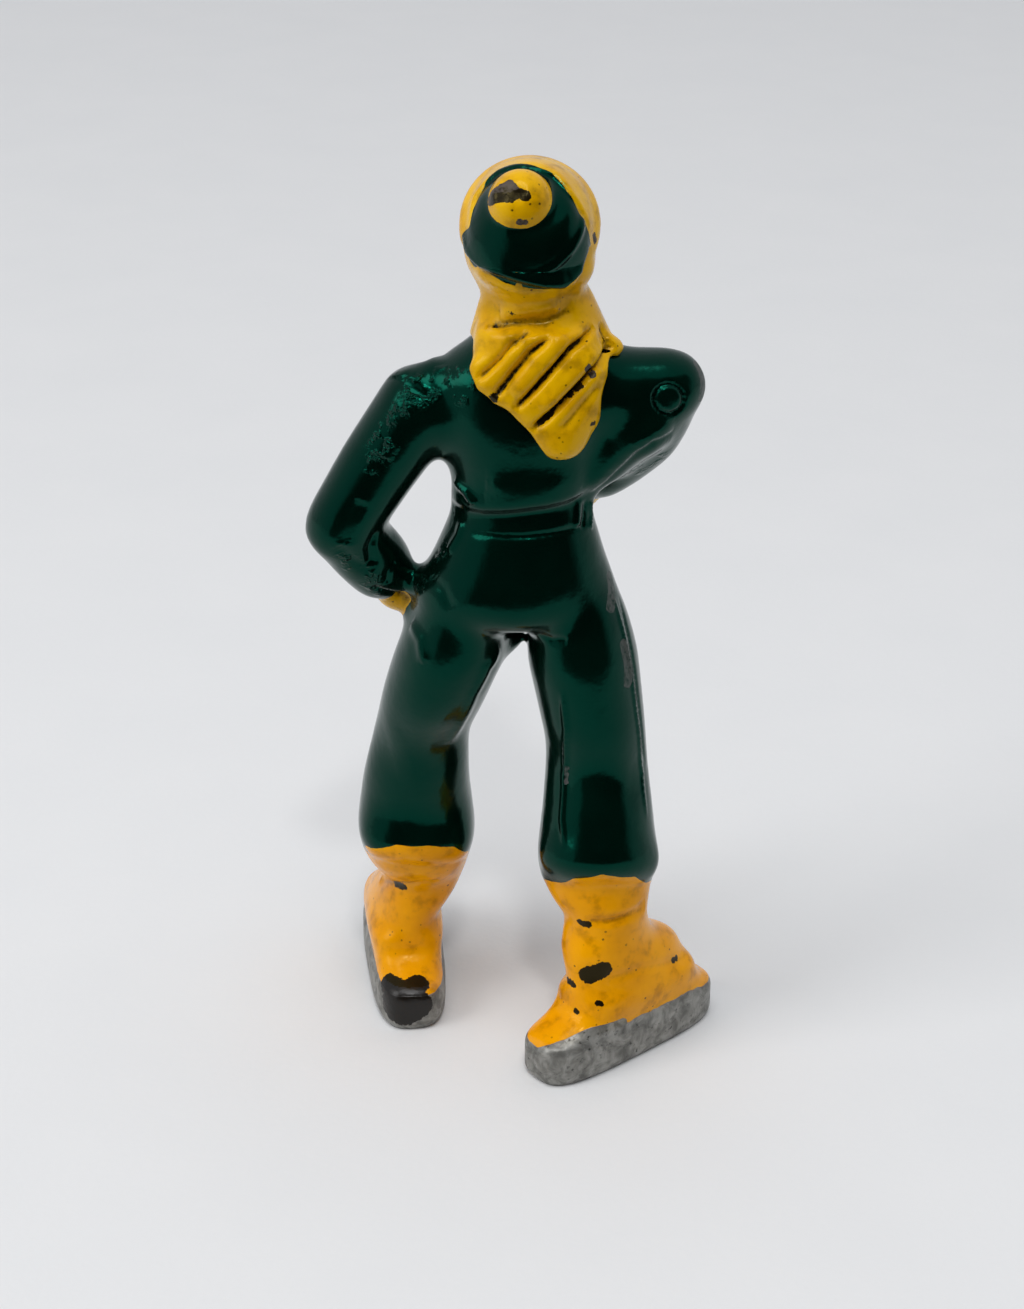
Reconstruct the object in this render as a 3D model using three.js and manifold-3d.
// A cast ice skater figure, standing on two skates with one hand on the hip and one arm across the body.
// Millimetres, +Z up. The figure faces -Y, its left side is +X, and the hips stand over X = 0, Y = 0.

import * as THREE from "three";
import { mergeVertices } from "three/addons/utils/BufferGeometryUtils.js";
import Module from "manifold-3d";

const wasm = await Module();
wasm.setup();

// Gap between two pieces that meet
const JOINT_GAP = 0.3;

// Skates: a runner under each boot, its plan a blunt oval that widens towards the toes
const RUNNER_HEIGHT = 3.4;
const RUNNER_LENGTH = 17.0;
const RUNNER_HEEL_WIDTH = 5.5;
const RUNNER_TOE_WIDTH = 6.2;
const RUNNER_EDGE = 0.5;
const RUNNER_BEHIND_ANKLE = 7.4;

// Boots and socks
const SOLE_HEIGHT = 2.4;
const SOLE_MARGIN = 0.35;
const BOOT_LENGTH = 10.8;
const BOOT_WIDTH = 5.6;
const BOOT_BEHIND_ANKLE = 3.7;
const ANKLE_WIDTH = 6.0;
const ANKLE_DEPTH = 6.6;
const SOCK_HEIGHT = 2.6;
const SOCK_TOP_WIDTH = 8.0;
const SOCK_TUCK = 3.4;

// Each leg's joints in plan, from the hip down, the height of its boot, and how far its foot turns out
const LEFT_LEG = {
  hip: new THREE.Vector2(4.4, 0),
  knee: new THREE.Vector2(7.7, -1.7),
  hem: new THREE.Vector2(8.2, -4.4),
  ankle: new THREE.Vector2(7.7, -5.3),
  foot: new THREE.Vector2(9.3, -5.4),
  bootHeight: 3.8,
  turnOut: 7,
};
const RIGHT_LEG = {
  hip: new THREE.Vector2(-3.9, 0),
  knee: new THREE.Vector2(-5.45, 0.7),
  hem: new THREE.Vector2(-5.6, 1.9),
  ankle: new THREE.Vector2(-6.35, 2.9),
  foot: new THREE.Vector2(-6.6, 3.7),
  bootHeight: 4.9,
  turnOut: 49,
};

// Trousers
const INSEAM = 21.4;
const LEG_TUCK = 2.2;
const SEAT_HEIGHT = 8.3;
const HIP_WIDTH = 14.9;
const HIP_X = 0.65;
const HIP_DEPTH = 9.6;
const HEM_WIDTH = 8.7;
const HEM_DEPTH = 8.5;
const HEM_SLOPE = 0.5;
const KNEE_WIDTH = 7.4;
const KNEE_DEPTH = 8.0;
const THIGH_WIDTH = 8.1;
const THIGH_DEPTH = 8.6;

// Jacket
const BAND_HEIGHT = 1.4;
const WAIST_WIDTH = 10.0;
const WAIST_X = 0.05;
const BAND_SWELL = 0.5;
const WAIST_DEPTH = 7.5;
const JACKET_HEIGHT = 11.7;
const CHEST_WIDTH = 14.2;
const CHEST_DEPTH = 8.8;
const NECK_WIDTH = 5.0;
const NECK_DEPTH = 5.2;
const NECK_X = -0.8;

// Arms: each joint of an arm, measured from the one before it, and the sleeve's radius there
const LEFT_SHOULDER = new THREE.Vector3(6.7, 0, 6.2);
const LEFT_ELBOW = new THREE.Vector3(6.4, 0.5, -9.8);
const LEFT_WRIST = new THREE.Vector3(-3.3, -2.2, -4.7);
const RIGHT_SHOULDER = new THREE.Vector3(-5.6, 0.2, 7.0);
const RIGHT_ELBOW = new THREE.Vector3(-4.8, -0.4, 0.1);
const RIGHT_WRIST = new THREE.Vector3(5.6, -4.6, -8.6);
const SHOULDER_RADIUS = 3.1;
const ELBOW_RADIUS = 2.6;
const CUFF_RADIUS = 2.3;
const SLEEVE_BOW = new THREE.Vector3(0.35, 0, 0);
const LEFT_FOREARM_BOW = new THREE.Vector3(0, 0, 0.3);
const RIGHT_FOREARM_BOW = new THREE.Vector3(-0.7, 0, -0.4);
const MITTEN_RADIUS = 1.8;
const MITTEN_LENGTH = 2.4;

// Head: the neck's height, the face, and the cap, which leans back
const NECK_HEIGHT = 2.2;
const HEAD_HEIGHT = 8.4;
const HEAD_WIDTH = 7.6;
const HEAD_DEPTH = 8.2;
const HEAD_X = -0.42;
const HEAD_Y = -0.6;
const HAIR_WIDTH = 9.0;
const HAIR_DEPTH = 8.2;
const HAIR_LENGTH = 3.4;
const HAIR_Y = 0.45;
const CAP_LEAN = 50;
const CAP_RISE = 4.9;
const CAP_RADIUS = 4.35;
const CAP_HEIGHT = 3.7;
const CROWN_SINK = 1.2;
const CUFF_THICKNESS = 1.3;
const CUFF_INSET = 0.3;
const CUFF_TALLNESS = 1.5;
const POMPOM_RADIUS = 2.1;
const POMPOM_SINK = 2.1;
const POMPOM_X = 0.6;

// Scarf
const COLLAR_HEIGHT = 4.0;
const COLLAR_DROP = 1.2;
const COLLAR_TOP_WIDTH = 7.0;
const COLLAR_FOOT_WIDTH = 9.8;
const SCARF_THICKNESS = 1.0;
const SCARF_LENGTH = 8.6;
const SCARF_WIDTH = 9.4;
const SCARF_DEPTH = 6.2;
const SCARF_X = -1.2;
const SCARF_TIP_X = -2.5;
const SCARF_RISE = 0.6;
const SCARF_END_RADIUS = 0.9;
const SCARF_END_FROM = new THREE.Vector3(2.4, 0.4, 1.8);
const SCARF_END_OVER = new THREE.Vector3(1.0, 0.3, 0.8);
const SCARF_END_TO = new THREE.Vector3(-0.6, 0.6, 0);

// How finely the skins are divided
const SIDES = 18;
const RINGS = 2;
const DOME_RINGS = 2;

// Heights that stack up from the floor
const SOLE_Z = RUNNER_HEIGHT + JOINT_GAP;
const BOOT_Z = SOLE_Z + SOLE_HEIGHT + JOINT_GAP;
const sockZ = (leg) => BOOT_Z + leg.bootHeight + JOINT_GAP;
const hemZ = (leg) => sockZ(leg) + SOCK_HEIGHT;
const SEAT_Z = hemZ(RIGHT_LEG) + INSEAM;
const BAND_Z = SEAT_Z + SEAT_HEIGHT + JOINT_GAP;
const JACKET_Z = BAND_Z + BAND_HEIGHT + JOINT_GAP;
const NECK_Z = JACKET_Z + JACKET_HEIGHT + JOINT_GAP;
const CHIN_Z = NECK_Z + NECK_HEIGHT;
const CAP_CENTRE = new THREE.Vector3(HEAD_X, 0, CHIN_Z + CAP_RISE);

const UP = new THREE.Vector3(0, 0, 1);
const BACK = new THREE.Vector3(0, 1, 0);

const paint = (color, roughness, metalness) => new THREE.MeshStandardMaterial({ color, roughness, metalness });
const greenEnamel = paint(0x0c4030, 0.25, 0.1);
const yellowEnamel = paint(0xdba512, 0.4, 0.05);
const silverPaint = paint(0x8f8e8a, 0.55, 0.6);
const fleshEnamel = paint(0xd8a27c, 0.45, 0.0);

// One closed skin over rings of equally many points, each ring seen anticlockwise from the last one
function skin(rings) {
  const count = rings[0].length;
  const points = rings.flat();
  const middle = (ring) => ring.reduce((sum, p) => sum.add(p), new THREE.Vector3()).divideScalar(count);
  const first = points.push(middle(rings[0])) - 1;
  const last = points.push(middle(rings[rings.length - 1])) - 1;
  const top = (rings.length - 1) * count;
  const index = [];
  for (let i = 0; i < count; i += 1) {
    const j = (i + 1) % count;
    for (let low = 0; low < top; low += count) {
      index.push(low + i, low + j, low + count + j);
      index.push(low + i, low + count + j, low + count + i);
    }
    index.push(first, j, i);
    index.push(last, top + i, top + j);
  }
  const geometry = new THREE.BufferGeometry().setFromPoints(points);
  geometry.setIndex(index);
  return geometry;
}

// Oval sections along a spine. A section has its centre, half width, half depth and the slope of its cut.
// Level sections stay horizontal; the others stand square to the spine. Either end can be domed.
function loft(sections, { grow = 0, level = false, side = BACK, domes = [0, 0] } = {}) {
  const spine = new THREE.CatmullRomCurve3(sections.map((s) => s.at));
  const sizes = new THREE.CatmullRomCurve3(
    sections.map((s) => new THREE.Vector3(s.wide, s.deep, s.slope ?? 0)),
  );
  const steps = (sections.length - 1) * RINGS;
  const ring = (t, scale, shift) => {
    const along = level ? UP : spine.getTangent(t);
    const deepAxis = side.clone().addScaledVector(along, -side.dot(along)).normalize();
    const wideAxis = new THREE.Vector3().crossVectors(deepAxis, along);
    const centre = spine.getPoint(t).addScaledVector(along, shift);
    const { x: wide, y: deep, z: slope } = sizes.getPoint(t);
    deepAxis.addScaledVector(along, slope);
    return Array.from({ length: SIDES }, (_, i) => {
      const angle = (2 * Math.PI * i) / SIDES;
      return centre
        .clone()
        .addScaledVector(wideAxis, (wide + grow) * scale * Math.cos(angle))
        .addScaledVector(deepAxis, (deep + grow) * scale * Math.sin(angle));
    });
  };
  const dome = (t, height, sign) =>
    Array.from({ length: DOME_RINGS }, (_, k) => {
      const angle = ((k + 1) / (DOME_RINGS + 0.35)) * (Math.PI / 2);
      return ring(t, Math.cos(angle), sign * (height + grow) * Math.sin(angle));
    });
  const body = Array.from({ length: steps + 1 }, (_, i) => {
    const end = i === 0 ? -grow : i === steps ? grow : 0;
    return ring(i / steps, 1, end);
  });
  const start = domes[0] ? dome(0, domes[0], -1).reverse() : [];
  const finish = domes[1] ? dome(1, domes[1], 1) : [];
  return skin([...start, ...body, ...finish]);
}

// A member with level sections, whose heights are shares of its own height
function column(base, height, rows, options = {}) {
  const sections = rows.map(([share, x, y, width, depth, slope]) => ({
    at: new THREE.Vector3(x, y, base + share * height),
    wide: width / 2,
    deep: depth / 2,
    slope,
  }));
  return (grow) => loft(sections, { ...options, level: true, grow });
}

// A round member along points, with a radius at each
function limb(points, radii, options = {}) {
  const sections = points.map((at, i) => ({ at, wide: radii[i], deep: radii[i] }));
  return (grow) => loft(sections, { ...options, grow });
}

// A blunt oval plan, from its rear end to its toe end along Y, at one height
function planRing(rear, front, heelWidth, toeWidth, z) {
  const bluntness = 0.58;
  const round = (value) => Math.sign(value) * Math.abs(value) ** bluntness;
  return Array.from({ length: SIDES * 2 }, (_, i) => {
    const angle = (Math.PI * i) / SIDES;
    const towardsRear = (1 + round(Math.sin(angle))) / 2;
    const halfWidth = (toeWidth + (heelWidth - toeWidth) * towardsRear) / 2;
    return new THREE.Vector3(halfWidth * round(Math.cos(angle)), front + (rear - front) * towardsRear, z);
  });
}

function toSolid(geometry) {
  geometry.deleteAttribute("normal");
  geometry.deleteAttribute("uv");
  const merged = mergeVertices(geometry);
  return new wasm.Manifold(
    new wasm.Mesh({
      numProp: 3,
      vertProperties: Float32Array.from(merged.attributes.position.array),
      triVerts: Uint32Array.from(merged.index.array),
    }),
  );
}

function toMesh(name, solid, material) {
  const { vertProperties, triVerts } = solid.getMesh();
  const geometry = new THREE.BufferGeometry();
  geometry.setAttribute("position", new THREE.BufferAttribute(vertProperties, 3));
  geometry.setIndex(new THREE.BufferAttribute(triVerts, 1));
  geometry.computeVertexNormals();
  const mesh = new THREE.Mesh(geometry, material);
  mesh.name = name;
  return mesh;
}

const figure = new THREE.Group();
const outlines = new Map();

// Adds a piece to the figure, cut back by the joint gap where it meets pieces made before it
function addPiece(name, material, shape, meets = []) {
  outlines.set(name, shape);
  let solid = toSolid(shape(0));
  for (const neighbour of meets) {
    solid = solid.subtract(toSolid(outlines.get(neighbour)(JOINT_GAP)));
  }
  figure.add(toMesh(name, solid, material));
}

// A foot in its own frame: the middle of the boot's heel over the origin, the toes towards -Y
function addFoot(side, leg, outward) {
  const turn = THREE.MathUtils.degToRad(outward * leg.turnOut);
  const foot = new THREE.Group();
  foot.position.set(leg.foot.x, leg.foot.y, 0);
  foot.rotation.z = turn;

  const rear = RUNNER_BEHIND_ANKLE;
  const front = rear - RUNNER_LENGTH;
  const runnerRing = (inset, z) =>
    planRing(rear - inset, front + inset, RUNNER_HEEL_WIDTH - 2 * inset, RUNNER_TOE_WIDTH - 2 * inset, z);
  const runner = skin([
    runnerRing(RUNNER_EDGE / 2, 0),
    runnerRing(0, RUNNER_EDGE),
    runnerRing(0, RUNNER_HEIGHT - RUNNER_EDGE),
    runnerRing(RUNNER_EDGE / 2, RUNNER_HEIGHT),
  ]);
  foot.add(toMesh(`${side}_runner`, toSolid(runner), silverPaint));

  const bootRear = BOOT_BEHIND_ANKLE;
  const bootFront = bootRear - BOOT_LENGTH;
  const welt = BOOT_WIDTH + SOLE_MARGIN;
  const footprint = [rear - 2 * SOLE_MARGIN, front + 2 * SOLE_MARGIN];
  const footprintWidths = [RUNNER_HEEL_WIDTH - 2 * SOLE_MARGIN, RUNNER_TOE_WIDTH - SOLE_MARGIN];
  const sole = skin([
    planRing(...footprint, ...footprintWidths, SOLE_Z),
    planRing(bootRear, bootFront - 2 * SOLE_MARGIN, welt, welt, SOLE_Z + SOLE_HEIGHT / 2),
    planRing(bootRear + SOLE_MARGIN, bootFront - SOLE_MARGIN, welt, welt, SOLE_Z + SOLE_HEIGHT),
  ]);
  foot.add(toMesh(`${side}_sole`, toSolid(sole), yellowEnamel));

  const lean = leg.ankle.clone().sub(leg.foot).rotateAround(new THREE.Vector2(), -turn);
  const bootRow = (height, share) =>
    [height, height * lean.x, bootRear - (share * BOOT_LENGTH) / 2, BOOT_WIDTH, share * BOOT_LENGTH];
  const boot = column(BOOT_Z, leg.bootHeight, [
    bootRow(0, 1),
    bootRow(0.22, 0.98),
    bootRow(0.42, 0.88),
    bootRow(0.64, 0.72),
    [1, lean.x, lean.y, ANKLE_WIDTH, ANKLE_DEPTH],
  ]);
  foot.add(toMesh(`${side}_boot`, toSolid(boot(0)), yellowEnamel));
  figure.add(foot);
}

// A trouser leg from its hem up into the seat, and the sock between the hem and the boot
function addLeg(side, leg, meets) {
  const { hip, knee, hem, ankle } = leg;
  const thigh = hip.clone().lerp(knee, 0.25);
  addPiece(`${side}_trouser_leg`, greenEnamel, column(hemZ(leg), SEAT_Z + LEG_TUCK - hemZ(leg), [
    [0, hem.x, hem.y, HEM_WIDTH, HEM_DEPTH, HEM_SLOPE],
    [0.12, hem.x, hem.y, HEM_WIDTH, HEM_DEPTH, HEM_SLOPE / 2],
    [0.47, knee.x, knee.y, KNEE_WIDTH, KNEE_DEPTH],
    [0.78, thigh.x, thigh.y, THIGH_WIDTH, THIGH_DEPTH],
    [1, hip.x, hip.y, THIGH_WIDTH * 0.68, THIGH_DEPTH * 0.8],
  ]), meets);
  const sockHeight = SOCK_HEIGHT + SOCK_TUCK;
  addPiece(`${side}_sock`, yellowEnamel, column(sockZ(leg), sockHeight, [
    [0, ankle.x, ankle.y, ANKLE_WIDTH, ANKLE_DEPTH],
    [SOCK_HEIGHT / sockHeight, hem.x, hem.y, SOCK_TOP_WIDTH, SOCK_TOP_WIDTH],
    [1, hem.x, hem.y, SOCK_TOP_WIDTH * 0.8, SOCK_TOP_WIDTH * 0.8],
  ]), [`${side}_trouser_leg`]);
}

// Trousers: the seat, then a leg on each side
addPiece("trouser_seat", greenEnamel, column(SEAT_Z, SEAT_HEIGHT, [
  [0.1, HIP_X, 0, HIP_WIDTH * 0.94, HIP_DEPTH * 0.96],
  [0.22, HIP_X, 0, HIP_WIDTH, HIP_DEPTH],
  [0.55, HIP_X / 2, 0, HIP_WIDTH * 0.83, HIP_DEPTH * 0.96],
  [1, WAIST_X, 0, WAIST_WIDTH, WAIST_DEPTH],
], { domes: [1.6, 0] }));
addLeg("left", LEFT_LEG, ["trouser_seat"]);
addLeg("right", RIGHT_LEG, ["trouser_seat", "left_trouser_leg"]);
addFoot("left", LEFT_LEG, 1);
addFoot("right", RIGHT_LEG, -1);

// Jacket: the gathered band at the waist and the body above it
addPiece("jacket_band", greenEnamel, column(BAND_Z, BAND_HEIGHT, [
  [0, WAIST_X, 0, WAIST_WIDTH, WAIST_DEPTH],
  [0.5, WAIST_X, 0, WAIST_WIDTH + BAND_SWELL, WAIST_DEPTH + BAND_SWELL],
  [1, WAIST_X, 0, WAIST_WIDTH, WAIST_DEPTH],
]));
addPiece("jacket_body", greenEnamel, column(JACKET_Z, JACKET_HEIGHT, [
  [0, WAIST_X, 0, WAIST_WIDTH, WAIST_DEPTH],
  [0.2, WAIST_X, 0, CHEST_WIDTH * 0.8, CHEST_DEPTH * 0.93],
  [0.48, NECK_X * 0.15, 0, CHEST_WIDTH * 0.96, CHEST_DEPTH],
  [0.7, NECK_X * 0.4, 0, CHEST_WIDTH, CHEST_DEPTH * 0.95],
  [0.86, NECK_X * 1.3, 0, CHEST_WIDTH * 0.76, CHEST_DEPTH * 0.82],
  [1, NECK_X, 0, NECK_WIDTH * 1.3, NECK_DEPTH * 1.2],
]));

// Head: skull, face and neck in one, under the cap
addPiece("head", fleshEnamel, column(NECK_Z, NECK_HEIGHT + HEAD_HEIGHT, [
  [0, NECK_X, 0, NECK_WIDTH, NECK_DEPTH],
  [0.17, NECK_X, HEAD_Y * 0.3, NECK_WIDTH, NECK_DEPTH],
  [0.27, HEAD_X, HEAD_Y * 1.8, HEAD_WIDTH * 0.82, HEAD_DEPTH * 0.86],
  [0.45, HEAD_X, HEAD_Y * 1.3, HEAD_WIDTH, HEAD_DEPTH],
  [0.7, HEAD_X, HEAD_Y, HEAD_WIDTH, HEAD_DEPTH],
  [0.9, HEAD_X, HEAD_Y * 0.7, HEAD_WIDTH * 0.7, HEAD_DEPTH * 0.7],
], { domes: [0, 0.9] }));

// Cap: a rolled cuff round the head, the crown that leans back out of it, and a pompom on the crown
const capAxis = UP.clone().applyAxisAngle(new THREE.Vector3(1, 0, 0), THREE.MathUtils.degToRad(-CAP_LEAN));
const onCapAxis = (distance) => CAP_CENTRE.clone().addScaledVector(capAxis, distance);
const cuffRing = (grow) => {
  const ring = new THREE.TorusGeometry(CAP_RADIUS - CUFF_INSET, CUFF_THICKNESS / 2 + grow, 10, SIDES * 2);
  ring.scale(1, 1, CUFF_TALLNESS);
  ring.rotateX(THREE.MathUtils.degToRad(-CAP_LEAN));
  return ring.translate(CAP_CENTRE.x, CAP_CENTRE.y, CAP_CENTRE.z);
};
addPiece("cap_cuff", yellowEnamel, cuffRing, ["head"]);
const crown = limb(
  [onCapAxis(-CROWN_SINK), onCapAxis(CAP_HEIGHT * 0.3), onCapAxis(CAP_HEIGHT * 0.72)],
  [CAP_RADIUS, CAP_RADIUS * 0.97, CAP_RADIUS * 0.78],
  { domes: [0, CAP_HEIGHT * 0.45], side: new THREE.Vector3(1, 0, 0) },
);
addPiece("cap_crown", greenEnamel, crown, ["head", "cap_cuff"]);
const pompom = (grow) => {
  const ball = new THREE.SphereGeometry(POMPOM_RADIUS + grow, SIDES, 12);
  const centre = onCapAxis(CAP_HEIGHT + POMPOM_RADIUS - POMPOM_SINK);
  return ball.translate(centre.x + POMPOM_X, centre.y, centre.z);
};
addPiece("cap_pompom", yellowEnamel, pompom, ["cap_crown"]);

// Hair below the cap, round the back of the head
addPiece("hair", yellowEnamel, column(CHIN_Z, HAIR_LENGTH, [
  [0, HEAD_X, HAIR_Y, HAIR_WIDTH * 0.74, HAIR_DEPTH * 0.76],
  [0.5, HEAD_X, HAIR_Y, HAIR_WIDTH * 0.95, HAIR_DEPTH * 0.96],
  [1, HEAD_X, 0, HAIR_WIDTH, HAIR_DEPTH * 0.9],
]), ["head", "cap_cuff", "cap_crown"]);

// Scarf: wound round the neck, with one end down the back and one over the right shoulder
addPiece("scarf_collar", yellowEnamel, column(NECK_Z - COLLAR_DROP, COLLAR_HEIGHT, [
  [0, SCARF_X, 0, COLLAR_FOOT_WIDTH, COLLAR_FOOT_WIDTH * 0.84],
  [0.5, (SCARF_X + NECK_X) / 2, 0, (COLLAR_FOOT_WIDTH + COLLAR_TOP_WIDTH) / 2, COLLAR_TOP_WIDTH],
  [1, NECK_X, 0, COLLAR_TOP_WIDTH, COLLAR_TOP_WIDTH * 0.94],
]), ["jacket_body", "head", "hair"]);

// Sleeves, each an upper and a lower half that meet at the elbow, with a mitten at the wrist
const waist = new THREE.Vector3(0, 0, JACKET_Z);
const joint = (from, offset) => from.clone().add(offset);
const between = (from, to, share) => from.clone().lerp(to, share);

function addArm(side, arm, lowerMeets) {
  const { shoulder, elbow, wrist, axis } = arm;
  addPiece(`${side}_upper_sleeve`, greenEnamel, limb(
    [shoulder, joint(between(shoulder, elbow, 0.5), arm.upperBow), elbow],
    [SHOULDER_RADIUS, (SHOULDER_RADIUS + 2 * ELBOW_RADIUS) / 3, ELBOW_RADIUS],
    { domes: [SHOULDER_RADIUS * 0.5, ELBOW_RADIUS * 0.9], side: axis },
  ), ["jacket_body", "scarf_collar"]);
  addPiece(`${side}_lower_sleeve`, greenEnamel, limb(
    [elbow, joint(between(elbow, wrist, 0.45), arm.lowerBow), wrist],
    [ELBOW_RADIUS * 0.85, ELBOW_RADIUS, CUFF_RADIUS],
    { side: axis },
  ), [`${side}_upper_sleeve`, "jacket_body", ...lowerMeets]);
  const reach = wrist.clone().sub(elbow).normalize();
  const handStart = wrist.clone().addScaledVector(reach, JOINT_GAP);
  const handEnd = handStart.clone().addScaledVector(reach, MITTEN_LENGTH);
  addPiece(`${side}_mitten`, yellowEnamel, limb(
    [handStart, between(handStart, handEnd, 0.5), handEnd],
    [MITTEN_RADIUS * 0.9, MITTEN_RADIUS, MITTEN_RADIUS * 0.8],
    { domes: [0, MITTEN_RADIUS * 0.6], side: axis },
  ), [`${side}_lower_sleeve`, "jacket_body", ...lowerMeets]);
}

const leftShoulder = joint(waist, LEFT_SHOULDER);
const leftElbow = joint(leftShoulder, LEFT_ELBOW);
addArm("left", {
  shoulder: leftShoulder,
  elbow: leftElbow,
  wrist: joint(leftElbow, LEFT_WRIST),
  axis: BACK,
  upperBow: SLEEVE_BOW,
  lowerBow: LEFT_FOREARM_BOW,
}, ["trouser_seat", "left_trouser_leg"]);
const rightShoulder = joint(waist, RIGHT_SHOULDER);
const rightElbow = joint(rightShoulder, RIGHT_ELBOW);
addArm("right", {
  shoulder: rightShoulder,
  elbow: rightElbow,
  wrist: joint(rightElbow, RIGHT_WRIST),
  axis: UP,
  upperBow: SLEEVE_BOW.clone().negate(),
  lowerBow: RIGHT_FOREARM_BOW,
}, ["jacket_band", "trouser_seat"]);

// The long end of the scarf lies on the back, half of its oval section inside the jacket's line
const tailY = (CHEST_DEPTH * 0.95 - SCARF_DEPTH) / 2 + SCARF_THICKNESS;
addPiece("scarf_tail", yellowEnamel, column(NECK_Z - SCARF_LENGTH + SCARF_RISE, SCARF_LENGTH, [
  [0, SCARF_TIP_X, tailY, SCARF_WIDTH * 0.4, SCARF_DEPTH],
  [0.2, (SCARF_X + 2 * SCARF_TIP_X) / 3, tailY, SCARF_WIDTH * 0.72, SCARF_DEPTH],
  [0.42, SCARF_X, tailY, SCARF_WIDTH, SCARF_DEPTH],
  [0.72, SCARF_X, tailY - SCARF_THICKNESS * 0.2, SCARF_WIDTH, SCARF_DEPTH],
  [1, NECK_X, tailY - SCARF_THICKNESS * 0.6, SCARF_WIDTH * 0.86, SCARF_DEPTH],
], { domes: [SCARF_THICKNESS * 0.7, 0] }), ["jacket_body", "scarf_collar", "hair", "right_upper_sleeve"]);

// The short end comes over the top of the right shoulder
const shoulderTop = joint(rightShoulder, SCARF_END_TO).add(new THREE.Vector3(0, 0, SHOULDER_RADIUS));
addPiece("scarf_end", yellowEnamel, limb(
  [joint(shoulderTop, SCARF_END_FROM), joint(shoulderTop, SCARF_END_OVER), shoulderTop],
  [SCARF_END_RADIUS, SCARF_END_RADIUS, SCARF_END_RADIUS * 0.9],
  { domes: [SCARF_END_RADIUS * 0.4, SCARF_END_RADIUS * 0.5] },
), ["jacket_body", "scarf_collar", "scarf_tail", "right_upper_sleeve"]);

// The origin is at the middle of the figure's own box, on the floor
const model = new THREE.Group();
model.add(figure);
model.updateMatrixWorld(true);
const box = new THREE.Box3().setFromObject(model, true);
const centre = box.getCenter(new THREE.Vector3());
figure.position.set(-centre.x, -centre.y, -box.min.z);
model.updateMatrixWorld(true);

export default model;
